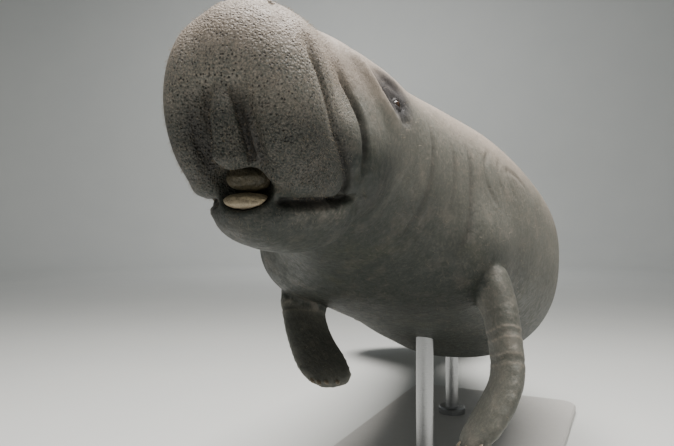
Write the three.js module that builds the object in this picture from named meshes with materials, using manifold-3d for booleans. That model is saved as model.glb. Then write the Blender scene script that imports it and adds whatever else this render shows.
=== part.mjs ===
// A life-size Florida manatee on a plain display stand. Sizes are in millimetres, +Z is up, and it faces -Y.
// Its flesh is described along a straight body first: x to its left, s back from the snout and z up.
// poseOf then bends that straight body along its spine, and every piece of the head follows it.
import * as THREE from "three";
import { mergeVertices } from "three/addons/utils/BufferGeometryUtils.js";
import Module from "manifold-3d";

const wasm = await Module();
wasm.setup();

// Driving sizes of the animal
const bodyLength = 2900;
const girthRadius = 308;
const flukeWidth = 640;
const muzzleWidth = 198;
const muzzleHeight = 232;
const eyeRadius = 10;
const eyePlace = { s: 300, z: 38 };
const palateWidth = 66;

// Driving angles of the pose, in degrees
const trunkPitch = 15.2;
const headLift = -8.1;
const headTurn = -8.8;
const tailTurn = 26;
const tailDrop = 3;

// Stand
const spineHeight = 610;
const base = { length: 1240, width: 620, thickness: 30, corner: 60, edge: 5 };
const rodRadius = 22;
const collar = { radius: 46, height: 22, edge: 4 };
const rodStations = { front: 1010, rear: 1640 };

const seam = 0.3; // gap kept where two pieces meet
const degree = Math.PI / 180;

// Small maths
const mix = (a, b, t) => a + (b - a) * t;
const clamp = (v, low, high) => Math.min(high, Math.max(low, v));
const smooth = (low, high, v) => {
  const t = clamp((v - low) / (high - low), 0, 1);
  return t * t * (3 - 2 * t);
};

// Two distances joined with a soft fillet about as wide as the blend
function softUnion(a, b, blend) {
  const h = Math.max(blend - Math.abs(a - b), 0) / blend;
  return Math.min(a, b) - (h * h * blend) / 4;
}

// Distance from a point to an ellipsoid whose top leans forward by its tilt, good enough to blend with
function ellipsoidDistance(form, x, s, z) {
  const c = Math.cos((form.tilt ?? 0) * degree);
  const n = Math.sin((form.tilt ?? 0) * degree);
  const [cx, cs, cz] = form.at;
  const [rx, rs, rz] = form.size;
  const dx = x - cx;
  const ds = (s - cs) * c + (z - cz) * n;
  const dz = (z - cz) * c - (s - cs) * n;
  const k0 = Math.hypot(dx / rx, ds / rs, dz / rz);
  const k1 = Math.hypot(dx / rx ** 2, ds / rs ** 2, dz / rz ** 2);
  return k1 < 1e-9 ? -Math.min(rx, rs, rz) : (k0 * (k0 - 1)) / k1;
}

// How strongly a fold acts at a point. Each point of its bent line ends with its own strength, from 0 to 1.
function foldShare(fold, x, s, z) {
  let best = Infinity;
  let strength = 0;
  for (let i = 0; i + 1 < fold.line.length; i++) {
    const [ax, as, az, fromStrength] = fold.line[i];
    const [bx, bs, bz, toStrength] = fold.line[i + 1];
    const [ux, us, uz] = [bx - ax, bs - as, bz - az];
    const dot = (x - ax) * ux + (s - as) * us + (z - az) * uz;
    const t = clamp(dot / (ux * ux + us * us + uz * uz), 0, 1);
    const away = Math.hypot(x - ax - ux * t, s - as - us * t, z - az - uz * t);
    if (away < best) {
      best = away;
      strength = mix(fromStrength, toStrength, t);
    }
  }
  return strength * Math.exp(-((best / fold.width) ** 2));
}

// The trunk's sections: how far back, half width, height above and depth below the axis,
// and how square the back and the underside are, where 2 is an ellipse
const girth = (part) => part * girthRadius;
const fluke = (part) => part * flukeWidth;
const trunkSections = [
  { s: 175, side: 20, above: 20, below: 20, back: 2, under: 2 },
  { s: 270, side: 112, above: 92, below: 150, back: 2, under: 2 },
  { s: 370, side: 150, above: 136, below: 178, back: 2.05, under: 2.05 },
  { s: 490, side: 184, above: 156, below: 196, back: 2.1, under: 2.15 },
  { s: 630, side: 226, above: 184, below: 234, back: 2.15, under: 2.8 },
  { s: 800, side: 268, above: 216, below: 244, back: 2.2, under: 3 },
  { s: 1010, side: girth(0.95), above: girth(0.79), below: girth(0.83), back: 2.2, under: 2.7 },
  { s: 1230, side: girth(1), above: girth(0.83), below: girth(0.9), back: 2.2, under: 2.5 },
  { s: 1470, side: girth(0.97), above: girth(0.81), below: girth(0.92), back: 2.2, under: 2.4 },
  { s: 1710, side: 272, above: 222, below: 242, back: 2.15, under: 2.3 },
  { s: 1930, side: 220, above: 180, below: 190, back: 2.1, under: 2.15 },
  { s: 2110, side: 174, above: 136, below: 136, back: 2, under: 2 },
  { s: 2230, side: 150, above: 98, below: 96, back: 2, under: 2 },
  { s: 2330, side: 166, above: 68, below: 66, back: 2, under: 2 },
  { s: 2450, side: fluke(0.36), above: 45, below: 43, back: 2, under: 2 },
  { s: 2580, side: fluke(0.47), above: 32, below: 31, back: 2, under: 2 },
  { s: 2680, side: fluke(0.5), above: 25, below: 24, back: 2, under: 2 },
  { s: 2780, side: fluke(0.43), above: 18, below: 17, back: 2, under: 2 },
  { s: 2860, side: fluke(0.25), above: 12, below: 11, back: 2, under: 2 },
  { s: bodyLength, side: 8, above: 7, below: 7, back: 2, under: 2 },
];

// A smooth curve through the sections' values that never overshoots between two of them
function sectionValue(key, s) {
  const list = trunkSections;
  let i = 0;
  while (i < list.length - 2 && s > list[i + 1].s) i++;
  const slope = (k) => {
    if (k <= 0 || k >= list.length - 1) return 0;
    const before = (list[k][key] - list[k - 1][key]) / (list[k].s - list[k - 1].s);
    const after = (list[k + 1][key] - list[k][key]) / (list[k + 1].s - list[k].s);
    return before * after <= 0 ? 0 : (2 * before * after) / (before + after);
  };
  const [a, b] = [list[i], list[i + 1]];
  const span = b.s - a.s;
  const t = clamp((s - a.s) / span, 0, 1);
  const rise = (1 + 2 * t) * (1 - t) ** 2 * a[key] + t * t * (3 - 2 * t) * b[key];
  return rise + t * (1 - t) ** 2 * span * slope(i) - t * t * (1 - t) * span * slope(i + 1);
}

function trunkDistance(x, s, z) {
  const side = sectionValue("side", s);
  const height = z > 0 ? sectionValue("above", s) : sectionValue("below", s);
  const power = sectionValue(z > 0 ? "back" : "under", s);
  const q = (Math.abs(x / side) ** power + Math.abs(z / height) ** power) ** (1 / power);
  const beyond = Math.max(trunkSections[0].s - s, s - bodyLength);
  return Math.max((q - 1) * Math.min(side, height), beyond);
}

// Rounded forms of the head and shoulders. Those with an x of their own are made on both sides.
const muzzleHalf = muzzleWidth / 2;
const skullHalf = 138;
const roundForms = {
  skull: { at: [0, 315, 8], size: [skullHalf, 176, 122], blend: 60 },
  bridge: { at: [0, 190, 34], size: [96, 140, 74], blend: 60 },
  noseDome: { at: [0, 84, 36], size: [0.74 * muzzleHalf, 74, 62], blend: 40 },
  muzzle: {
    at: [0, 84, -22],
    size: [0.76 * muzzleHalf, 66, 0.42 * muzzleHeight],
    tilt: 26,
    blend: 36,
  },
  lipPad: {
    at: [0.5 * muzzleHalf, 92, -34],
    size: [0.53 * muzzleHalf, 72, 0.46 * muzzleHeight],
    tilt: 28,
    blend: 20,
  },
  medianLobe: { at: [0, 59, -64], size: [27, 40, 59], tilt: 34, blend: 11 },
  cheek: { at: [72, 220, -58], size: [60, 96, 80], blend: 44 },
  jaw: { at: [0, 206, -136], size: [90, 110, 54], blend: 26 },
  chin: { at: [0, 131, -151], size: [52, 56, 33], blend: 26 },
  shoulder: { at: [178, 706, -128], size: [68, 112, 78], blend: 70 },
};

// Folds pressed into the flesh, and ridges raised on it where the depth is below zero.
// Each point of a line is laid on the flesh and ends with the fold's strength there.
const folds = {
  lobeSide: {
    line: [[18, 4, -12, 0], [24, 12, -38, 0.9], [27, 30, -70, 1], [31, 52, -98, 1]],
    width: 10,
    depth: 12,
  },
  padFold: {
    line: [
      [76, 46, 42, 0],
      [88, 56, 18, 0.7],
      [97, 74, -12, 1],
      [102, 101, -44, 1],
      [105, 134, -73, 1],
      [105, 160, -102, 1],
      [98, 168, -120, 0.7],
    ],
    width: 12,
    depth: 13,
  },
  cheekFold: {
    line: [
      [94, 130, 46, 0],
      [104, 154, 8, 0.9],
      [115, 165, -34, 1],
      [116, 172, -74, 1],
      [106, 194, -110, 0.5],
    ],
    width: 9,
    depth: 6,
  },
  browRidge: {
    line: [
      [80, 160, 92, 0],
      [99, 182, 68, 0.8],
      [114, 202, 44, 1],
      [128, 226, 18, 1],
      [142, 256, 0, 0.9],
      [146, 296, -8, 0],
    ],
    width: 13,
    depth: -8,
  },
  eyeHollow: { line: [[118, 236, 62, 0.7], [134, 262, 46, 0.9], [140, 300, 38, 1]], width: 24, depth: 12 },
  lowerLip: {
    line: [[44, 92, -154, 0.6], [78, 122, -154, 1], [98, 160, -149, 1], [106, 190, -140, 0.3]],
    width: 14,
    depth: 4,
  },
  mouthCorner: {
    line: [[104, 196, -118, 0.6], [109, 212, -128, 1], [106, 230, -148, 0]],
    width: 11,
    depth: 5,
  },
  throatFold: { line: [[0, 272, -180, 1], [46, 276, -170, 1], [92, 292, -130, 0]], width: 17, depth: 5 },
};

const flipSide = ([x, ...rest]) => [-x, ...rest];
const allForms = Object.values(roundForms).flatMap((form) => {
  return form.at[0] === 0 ? [form] : [form, { ...form, at: flipSide(form.at) }];
});
const formsEnd = 900; // no round form or fold reaches further back

// The flesh before its folds
function plainDistance(x, s, z) {
  let d = trunkDistance(x, s, z);
  if (s > formsEnd) return d;
  for (const form of allForms) d = softUnion(d, ellipsoidDistance(form, x, s, z), form.blend);
  return d;
}

// How far along a ray the outermost surface lies
function reach([x, s, z], [ux, us, uz], far, distance) {
  const at = (t) => distance(x + ux * t, s + us * t, z + uz * t);
  const steps = 48;
  let outer = far;
  let inner = far;
  for (let i = 1; i <= steps; i++) {
    inner = far * (1 - i / steps);
    if (at(inner) < 0) break;
    outer = inner;
  }
  for (let i = 0; i < 22; i++) {
    const middle = (inner + outer) / 2;
    if (at(middle) < 0) inner = middle;
    else outer = middle;
  }
  return (inner + outer) / 2;
}

// The rays that draw the flesh: a fan from the muzzle's middle, then square to the axis behind it
const fanCentre = [0, 96, -20];
const rayLength = 420;
const axisEnd = 400; // where the rays' axis has come down to the body's own
const axisHeight = (s) => mix(fanCentre[2], 0, smooth(fanCentre[1], axisEnd, s));

// A point near the flesh, moved out or in along its ray onto the flesh before the folds
function laidOnFlesh([x, s, z, strength]) {
  const middleS = Math.max(s, fanCentre[1]);
  const middle = [0, middleS, axisHeight(middleS)];
  const ray = new THREE.Vector3(x, s - middle[1], z - middle[2]).normalize().toArray();
  const far = reach(middle, ray, rayLength, plainDistance);
  return [...middle.map((v, k) => v + ray[k] * far), strength];
}
const allFolds = Object.values(folds).flatMap((fold) => {
  const line = fold.line.map(laidOnFlesh);
  return [{ ...fold, line }, { ...fold, line: line.map(flipSide) }];
});

function fleshDistance(x, s, z) {
  const plain = plainDistance(x, s, z);
  if (s > formsEnd) return plain;
  return allFolds.reduce((d, fold) => d + fold.depth * foldShare(fold, x, s, z), plain);
}

// The spine: where the straight body's axis goes in the pose, in steps along it
const spineStep = 10;
const pivot = 1230;
const bends = { lift: [230, 730], turn: [210, 870], drop: [1800, 2500], sweep: [1000, 1900] };
const pitchAt = (s) =>
  trunkPitch + headLift * (1 - smooth(...bends.lift, s)) + tailDrop * smooth(...bends.drop, s);
const yawAt = (s) => headTurn * (1 - smooth(...bends.turn, s)) - tailTurn * smooth(...bends.sweep, s);

// The directions at s: back along the spine, to the animal's left, and up
function spineFrame(s) {
  const pitch = pitchAt(s) * degree;
  const yaw = yawAt(s) * degree;
  const level = Math.cos(pitch);
  const back = new THREE.Vector3(Math.sin(yaw) * level, Math.cos(yaw) * level, -Math.sin(pitch));
  const left = new THREE.Vector3(Math.cos(yaw), -Math.sin(yaw), 0);
  return { back, left, up: new THREE.Vector3().crossVectors(left, back) };
}

const spinePoints = (() => {
  const spare = 200; // how far the spine runs on past the snout and the tail
  const points = new Map([[pivot, new THREE.Vector3(0, 0, spineHeight)]]);
  for (const way of [-1, 1]) {
    for (let s = pivot; s > -spare && s < bodyLength + spare; s += way * spineStep) {
      const step = spineFrame(s + (way * spineStep) / 2).back.multiplyScalar(way * spineStep);
      points.set(s + way * spineStep, points.get(s).clone().add(step));
    }
  }
  return points;
})();

// A point of the straight body, moved to its place in the pose
function poseOf(x, s, z) {
  const low = Math.floor((s - pivot) / spineStep) * spineStep + pivot;
  const t = (s - low) / spineStep;
  const on = spinePoints.get(low).clone().lerp(spinePoints.get(low + spineStep), t);
  const { left, up } = spineFrame(s);
  return on.addScaledVector(left, x).addScaledVector(up, z);
}

// Geometry from rings of points that all run the same way round, closed at each end by a fan
function closedFromRings(rings, startTip, endTip) {
  const positions = [startTip, ...rings.flat(), endTip].flatMap((p) => [p.x, p.y, p.z]);
  const around = rings[0].length;
  const last = rings.length * around + 1;
  const index = [];
  const at = (ring, i) => 1 + ring * around + (i % around);
  for (let i = 0; i < around; i++) {
    index.push(0, at(0, i + 1), at(0, i));
    index.push(last, at(rings.length - 1, i), at(rings.length - 1, i + 1));
    for (let ring = 0; ring + 1 < rings.length; ring++) {
      index.push(at(ring, i), at(ring, i + 1), at(ring + 1, i));
      index.push(at(ring, i + 1), at(ring + 1, i + 1), at(ring + 1, i));
    }
  }
  const geometry = new THREE.BufferGeometry();
  geometry.setAttribute("position", new THREE.Float32BufferAttribute(positions, 3));
  geometry.setIndex(index);
  return geometry;
}

function solidOf(geometry) {
  const plain = geometry.clone();
  plain.deleteAttribute("normal");
  plain.deleteAttribute("uv");
  const merged = mergeVertices(plain, 1e-3);
  const mesh = new wasm.Mesh({
    numProp: 3,
    vertProperties: new Float32Array(merged.attributes.position.array),
    triVerts: new Uint32Array(merged.index.array),
  });
  return new wasm.Manifold(mesh);
}

// The largest body of a solid, as geometry
function geometryOf(solid) {
  const largest = solid.decompose().reduce((a, b) => (b.volume() > a.volume() ? b : a));
  const mesh = largest.getMesh();
  const geometry = new THREE.BufferGeometry();
  const place = new THREE.BufferAttribute(Float32Array.from(mesh.vertProperties), 3);
  geometry.setAttribute("position", place);
  geometry.setIndex(new THREE.BufferAttribute(Uint32Array.from(mesh.triVerts), 1));
  return geometry;
}

// One ring of flesh, at an angle of the fan or at a place along the body
function fleshRing(station, around, grow = 0) {
  const fanned = station.fan !== undefined;
  const s = fanned ? fanCentre[1] : station.s;
  const tilt = fanned ? station.fan * degree : Math.PI / 2;
  const origin = [0, s, axisHeight(s)];
  const shift = station.shift ?? 0;
  return Array.from({ length: around }, (_, i) => {
    const turn = (i / around) * 2 * Math.PI;
    const ray = [Math.sin(turn) * Math.sin(tilt), -Math.cos(tilt), Math.cos(turn) * Math.sin(tilt)];
    const far = reach(origin, ray, rayLength, fleshDistance) + grow;
    return poseOf(ray[0] * far, s + ray[1] * far + shift, origin[2] + ray[2] * far);
  });
}

// A closed length of the body between its first and last station
function fleshBetween(stations, around, { front = false, tip = 0, grow = 0 } = {}) {
  const last = stations.length - 1;
  const shiftOf = (i) => {
    if (i === 0 && !front) return seam / 2;
    return i === last && !tip ? -seam / 2 : 0;
  };
  const shifted = stations.map((station, i) => ({ ...station, shift: shiftOf(i) }));
  const rings = shifted.map((station) => fleshRing(station, around, grow));
  const middleOf = (station) => poseOf(0, station.s + station.shift, axisHeight(station.s));
  const noseS = fanCentre[1] - reach(fanCentre, [0, -1, 0], rayLength, fleshDistance) - grow;
  const startTip = front ? poseOf(0, noseS, fanCentre[2]) : middleOf(shifted[0]);
  return closedFromRings(rings, startTip, tip ? poseOf(0, tip, 0) : middleOf(shifted[last]));
}

const evenly = (from, to, count) => Array.from({ length: count + 1 }, (_, i) => mix(from, to, i / count));
const along = (from, to, count) => evenly(from, to, count).map((s) => ({ s }));
const fanned = (from, to, count) => evenly(from, to, count).map((angle) => ({ fan: angle }));

const finishes = {
  skin: { color: 0x5d564e, roughness: 0.62, metalness: 0 },
  eye: { color: 0x15110e, roughness: 0.12, metalness: 0 },
  palate: { color: 0x6d5740, roughness: 0.5, metalness: 0 },
  gum: { color: 0xb08f74, roughness: 0.45, metalness: 0 },
  nail: { color: 0xa89a86, roughness: 0.4, metalness: 0 },
  standPaint: { color: 0xbdbbb6, roughness: 0.5, metalness: 0 },
  standSteel: { color: 0x9a9da0, roughness: 0.32, metalness: 1 },
};
const manatee = new THREE.Group();
function addPiece(name, geometry, finish) {
  const mesh = new THREE.Mesh(geometry, new THREE.MeshStandardMaterial(finishes[finish]));
  mesh.name = name;
  manatee.add(mesh);
}

// A ball of rays from a middle point out to a distance, closed at both ends of its side axis
function ballGeometry(middle, distance, across, around, far) {
  const rayFor = (angle, turn) => {
    const wide = Math.sin(angle);
    return [Math.cos(angle), wide * Math.sin(turn), wide * Math.cos(turn)];
  };
  const pointFor = (ray) => {
    const length = reach(middle, ray, far, distance);
    return poseOf(...middle.map((v, k) => v + ray[k] * length));
  };
  const ringAt = (angle) =>
    Array.from({ length: around }, (_, i) => pointFor(rayFor(angle, (i / around) * 2 * Math.PI)));
  const rings = evenly(0, Math.PI, across).slice(1, -1).map(ringAt);
  return closedFromRings(rings, pointFor([1, 0, 0]), pointFor([-1, 0, 0]));
}

// An ellipsoid of the straight body, in the pose
function ellipsoidGeometry(form, across, around) {
  const outside = 1.6 * Math.max(...form.size);
  return ballGeometry(form.at, (...place) => ellipsoidDistance(form, ...place), across, around, outside);
}

// Where one length of the body ends and the next begins, and the stations between
const snoutEnd = 190;
const headEnd = 400;
const headAround = 56;
const trunkAround = 48;
const snoutStations = [...fanned(6, 84, 15), ...along(fanCentre[1], snoutEnd, 7)];
const headStations = along(snoutEnd, headEnd, 13);
const trunkLengths = {
  neck: along(headEnd, 600, 6),
  chest: along(600, 1010, 9),
  belly: along(1010, 1550, 9),
  loin: along(1550, 1930, 8),
};

// The flesh a little larger, to cut whatever lies against it
const joined = (...lengths) => lengths.flatMap((stations, i) => (i === 0 ? stations : stations.slice(1)));
const wholeHead = solidOf(fleshBetween(joined(snoutStations, headStations), headAround, { front: true }));
const grownTrunk = solidOf(fleshBetween(joined(...Object.values(trunkLengths)), trunkAround, { grow: seam }));

// Head: the snout in front, the head behind it, with sockets for the eyes and two nostrils

const eyeSink = 0.42; // how far below the flesh an eye's middle lies, in eye radii
function eyeMiddle(side) {
  const axis = [0, eyePlace.s, axisHeight(eyePlace.s)];
  const ray = laidOnFlesh([side * skullHalf, eyePlace.s, eyePlace.z]).map((v, k) => v - axis[k]);
  const out = new THREE.Vector3(...ray.slice(0, 3)).normalize().toArray();
  const far = reach(axis, out, rayLength, fleshDistance) - eyeSink * eyeRadius;
  return axis.map((v, k) => v + out[k] * far);
}

function eyeballGeometry(side, radius) {
  const middle = eyeMiddle(side);
  return ellipsoidGeometry({ at: middle, size: [radius, radius, radius] }, 7, 10);
}

// The lids: a soft ring round each eye, longer than it is high
const lid = { ring: 10, tube: 3.2, rise: 5, long: 1.15, high: 0.82 };
function lidGeometry(side) {
  const middle = eyeMiddle(side);
  const place = poseOf(...middle);
  const out = poseOf(middle[0] + side * lid.ring, middle[1] - 1, middle[2] + 1).sub(place).normalize();
  const back = poseOf(middle[0], middle[1] + lid.ring, middle[2]).sub(place);
  back.addScaledVector(out, -back.dot(out)).normalize();
  const frame = new THREE.Matrix4().makeBasis(back, new THREE.Vector3().crossVectors(out, back), out);
  const ring = new THREE.TorusGeometry(lid.ring, lid.tube, 8, 18).scale(lid.long, lid.high, 1);
  return ring.applyMatrix4(frame).translate(...place.addScaledVector(out, lid.rise).toArray());
}

const nostril = { x: 27, radius: 13, slit: 3.4, sweep: 200, squash: 0.75 };
const nostrilRay = { from: [90, 10], way: [-0.62, 0.78] }; // s and z
function nostrilGeometry(side) {
  const [fromS, fromZ] = nostrilRay.from;
  const [wayS, wayZ] = nostrilRay.way;
  const far = reach([side * nostril.x, fromS, fromZ], [0, wayS, wayZ], rayLength, fleshDistance);
  const middle = [side * nostril.x, fromS + wayS * far, fromZ + wayZ * far];
  const arc = evenly(-nostril.sweep / 2, nostril.sweep / 2, 8).map((angle) => {
    const aside = side * nostril.radius * Math.sin(angle * degree);
    const drop = nostril.squash * nostril.radius * Math.cos(angle * degree);
    return poseOf(middle[0] + aside, middle[1] + wayZ * drop, middle[2] - wayS * drop);
  });
  const slit = new THREE.Shape().absarc(0, 0, nostril.slit, 0, 2 * Math.PI);
  return new THREE.ExtrudeGeometry(slit, {
    extrudePath: new THREE.CatmullRomCurve3(arc),
    steps: 14,
    curveSegments: 4,
    bevelEnabled: false,
  });
}

const sides = { left: 1, right: -1 };

// Mouth: a wedge under the lips, seen from the side, takes in the lower jaw.
// Its upper edge is the line of the mouth.
const mouthLine = [[-60, -142], [84, -142], [110, -138], [141, -132], [198, -117]];
const jawBack = [[210, -160], [214, -320], [-60, -320]];
function jawWedge(grow) {
  const outline = new THREE.Shape();
  const raised = mouthLine.map(([s, z]) => [s + grow, z + grow]);
  const lowered = jawBack.map(([s, z]) => [s + grow, z]);
  [...raised, ...lowered].forEach(([s, z], i) => (i === 0 ? outline.moveTo(s, z) : outline.lineTo(s, z)));
  const wide = 300; // wider than the head
  const wedge = new THREE.ExtrudeGeometry(outline, { depth: wide, bevelEnabled: false });
  wedge.translate(0, 0, -wide / 2);
  const place = wedge.attributes.position;
  for (let i = 0; i < place.count; i++) {
    place.setXYZ(i, ...poseOf(place.getZ(i), place.getX(i), place.getY(i)).toArray());
  }
  return solidOf(wedge);
}

// The open front of the mouth, with a horny pad on the palate and one on the jaw
const mouthHollow = { at: [0, 76, -124], size: [37, 36, 27], tilt: 24 };
const palatePad = { at: [0, 104, -106], size: [palateWidth / 2, 34, 19], tilt: 20 };
const jawPad = { at: [0, 100, -140], size: [palateWidth / 2 + 3, 31, 13] };
const roundSolid = (form, grow = 0) =>
  solidOf(ellipsoidGeometry({ ...form, size: form.size.map((r) => r + grow) }, 8, 18));
const palate = roundSolid(palatePad).intersect(roundSolid(mouthHollow, -seam));
const gum = roundSolid(jawPad)
  .intersect(roundSolid(mouthHollow, -seam))
  .subtract(roundSolid(palatePad, seam));

// The groove between the lips, from the open front to the corner of the mouth
const lipGroove = 5;
function mouthGroove(side) {
  const path = mouthLine.flatMap(([s, z], i) => {
    if (i === 0) return [];
    const [nextS, nextZ] = mouthLine[i + 1] ?? [s, z];
    return [0, 0.34, 0.67].map((part) => [mix(s, nextS, part), mix(z, nextZ, part)]);
  });
  const points = path.slice(0, -2).map(([s, z]) => {
    return poseOf(side * reach([0, s, z], [side, 0, 0], rayLength, fleshDistance), s, z);
  });
  const round = new THREE.Shape().absarc(0, 0, lipGroove, 0, 2 * Math.PI);
  return new THREE.ExtrudeGeometry(round, {
    extrudePath: new THREE.CatmullRomCurve3(points),
    steps: 20,
    curveSegments: 4,
    bevelEnabled: false,
  });
}

const cutAll = (solid, cutters) => cutters.reduce((left, cutter) => left.subtract(cutter), solid);
const bothOf = (make) => Object.values(sides).map((side) => solidOf(make(side)));
const mouthCuts = [roundSolid(mouthHollow), ...bothOf(mouthGroove)];
const upperCuts = [jawWedge(seam / 2), ...mouthCuts];
const snout = cutAll(solidOf(fleshBetween(snoutStations, headAround, { front: true })), [
  ...upperCuts,
  ...bothOf(nostrilGeometry),
]);
const bareHead = solidOf(fleshBetween(headStations, headAround));
const liddedHead = bothOf(lidGeometry).reduce((whole, ring) => whole.add(ring), bareHead);
const head = cutAll(liddedHead, [
  ...upperCuts,
  ...bothOf((side) => eyeballGeometry(side, eyeRadius + seam)),
]);
addPiece("snout", geometryOf(snout), "skin");
addPiece("head", geometryOf(head), "skin");
addPiece("lower_jaw", geometryOf(cutAll(wholeHead.intersect(jawWedge(-seam / 2)), mouthCuts)), "skin");
addPiece("palate_pad", geometryOf(palate), "palate");
addPiece("jaw_pad", geometryOf(gum), "gum");
for (const [name, side] of Object.entries(sides)) {
  addPiece(`eye_${name}`, eyeballGeometry(side, eyeRadius), "eye");
}

// Trunk and tail
const flukeEnd = [2822, 2848, 2868, 2882, 2892].map((s) => ({ s })); // closer together round the tip
const flukeStations = [...along(2250, 2790, 12), ...flukeEnd];
for (const [name, stations] of Object.entries(trunkLengths)) {
  addPiece(name, fleshBetween(stations, trunkAround), "skin");
}
addPiece("tail_stock", fleshBetween(along(1930, 2250, 8), 44), "skin");
addPiece("tail_paddle", fleshBetween(flukeStations, 40, { tip: bodyLength }), "skin");

// Flippers: sections along a bent line, each with half its width, half its thickness and the width's turn.
// A turn of 0 lays the width along the body, and 90 lays it across.
const flippers = {
  left: [
    { at: [176, 712, -96], half: 70, thick: 40, turn: 22 },
    { at: [222, 708, -156], half: 64, thick: 38, turn: 24 },
    { at: [250, 701, -216], half: 57, thick: 32, turn: 26 },
    { at: [266, 695, -283], half: 54, thick: 28, turn: 27 },
    { at: [274, 688, -345], half: 57, thick: 25, turn: 30 },
    { at: [263, 680, -389], half: 64, thick: 22, turn: 34 },
    { at: [240, 672, -434], half: 64, thick: 18, turn: 38 },
    { at: [217, 665, -466], half: 50, thick: 14, turn: 40 },
    { at: [206, 662, -480], half: 32, thick: 10, turn: 40 },
  ],
  right: [
    { at: [-160, 754, -86], half: 70, thick: 40, turn: 22 },
    { at: [-190, 750, -140], half: 64, thick: 38, turn: 24 },
    { at: [-188, 740, -198], half: 57, thick: 32, turn: 28 },
    { at: [-164, 725, -262], half: 54, thick: 28, turn: 32 },
    { at: [-131, 706, -314], half: 57, thick: 25, turn: 38 },
    { at: [-95, 686, -352], half: 62, thick: 22, turn: 44 },
    { at: [-70, 671, -376], half: 58, thick: 18, turn: 46 },
    { at: [-55, 661, -392], half: 44, thick: 14, turn: 46 },
    { at: [-49, 657, -398], half: 30, thick: 10, turn: 46 },
  ],
};
const wristPart = 0.5; // how far down the flipper the hand starts
const flipperAround = 24;

// A flipper's section at a part of its way, with its middle and its two half axes in the pose
function flipperSection(name, part) {
  const list = flippers[name];
  const curve = new THREE.CatmullRomCurve3(list.map((section) => poseOf(...section.at)));
  const place = clamp(part, 0, 1) * (list.length - 1);
  const i = Math.min(Math.floor(place), list.length - 2);
  const value = (key) => mix(list[i][key], list[i + 1][key], place - i);
  const middle = curve.getPoint(clamp(part, 0, 1));
  const down = curve.getTangent(clamp(part, 0, 1));
  const { back, left } = spineFrame(list[i].at[1]);
  const turn = value("turn") * degree;
  const lead = back.clone().multiplyScalar(-Math.cos(turn));
  lead.addScaledVector(left, sides[name] * Math.sin(turn));
  lead.addScaledVector(down, -lead.dot(down)).normalize();
  const flat = new THREE.Vector3().crossVectors(down, lead).multiplyScalar(value("thick"));
  lead.multiplyScalar(value("half"));
  return { middle, down, lead, flat };
}

function flipperRing(name, part, shift, grow) {
  const { middle, down, lead, flat } = flipperSection(name, part);
  for (const half of [lead, flat]) half.setLength(half.length() + grow);
  return Array.from({ length: flipperAround }, (_, i) => {
    const turn = (i / flipperAround) * 2 * Math.PI;
    const point = middle.clone().addScaledVector(down, shift);
    return point.addScaledVector(lead, Math.cos(turn)).addScaledVector(flat, Math.sin(turn));
  });
}

function flipperLength(name, from, to, count, shifts, tip, grow = 0) {
  const parts = evenly(from, to, count);
  const shiftAt = (i) => (i === 0 ? shifts[0] : i === count ? shifts[1] : 0);
  const rings = parts.map((part, i) => flipperRing(name, part, shiftAt(i), grow));
  const capAt = (part, shift) => {
    const { middle, down } = flipperSection(name, part);
    return middle.addScaledVector(down, shift);
  };
  return closedFromRings(rings, capAt(from, shifts[0]), capAt(to, tip || shifts[1]));
}

// Nails: four small plates along the far edge of each hand
const nail = { size: [5.5, 8, 3], parts: [0.85, 0.91, 0.955, 0.985], turns: [20, 32, 56, 96] };
function nailGeometry(name, k) {
  const { middle, down, lead, flat } = flipperSection(name, nail.parts[k]);
  const turn = nail.turns[k] * degree;
  const place = middle.clone().addScaledVector(lead, Math.cos(turn));
  place.addScaledVector(flat, sides[name] * Math.sin(turn));
  const plate = new THREE.SphereGeometry(1, 8, 6).scale(...nail.size);
  const frame = new THREE.Matrix4().makeBasis(lead.normalize(), down, flat.normalize().negate());
  return plate.applyMatrix4(frame).translate(...place.toArray());
}

const handTip = 6; // how far the rounded end reaches past the last section
for (const name of Object.keys(sides)) {
  const arm = solidOf(flipperLength(name, 0, wristPart, 10, [0, -seam / 2], 0));
  const hand = solidOf(flipperLength(name, wristPart, 1, 10, [seam / 2, 0], handTip));
  addPiece(`flipper_${name}_arm`, geometryOf(arm.subtract(grownTrunk)), "skin");
  addPiece(`flipper_${name}_hand`, geometryOf(hand), "skin");
  const grownHand = solidOf(flipperLength(name, wristPart, 1, 10, [0, 0], handTip + seam, seam));
  nail.parts.forEach((part, k) => {
    const plate = solidOf(nailGeometry(name, k)).subtract(grownHand);
    addPiece(`nail_${name}_${k + 1}`, geometryOf(plate), "nail");
  });
}

// Stand: a flat base, and two short rods that end just under the belly, each with a collar at its foot
const trunkMiddle = poseOf(0, mix(rodStations.front, rodStations.rear, 0.5), 0);
function baseGeometry() {
  const { length, width, thickness, corner, edge } = base;
  const [x, y] = [width / 2 - edge, length / 2 - edge];
  const outline = new THREE.Shape();
  const r = corner - edge;
  outline.absarc(x - r, y - r, r, 0, Math.PI / 2);
  outline.absarc(r - x, y - r, r, Math.PI / 2, Math.PI);
  outline.absarc(r - x, r - y, r, Math.PI, 1.5 * Math.PI);
  outline.absarc(x - r, r - y, r, 1.5 * Math.PI, 2 * Math.PI);
  const geometry = new THREE.ExtrudeGeometry(outline, {
    depth: thickness - 2 * edge,
    curveSegments: 5,
    bevelThickness: edge,
    bevelSize: edge,
    bevelSegments: 1,
  });
  return geometry.translate(trunkMiddle.x, trunkMiddle.y, edge);
}

function collarGeometry() {
  const { radius, height, edge } = collar;
  const inner = rodRadius + seam;
  const rim = [[radius, 0], [radius, height - edge], [radius - edge, height]];
  const profile = [[inner, 0], ...rim, [inner, height], [inner, 0]].map(([x, y]) => new THREE.Vector2(x, y));
  return new THREE.LatheGeometry(profile, 24).rotateX(Math.PI / 2);
}

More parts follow.
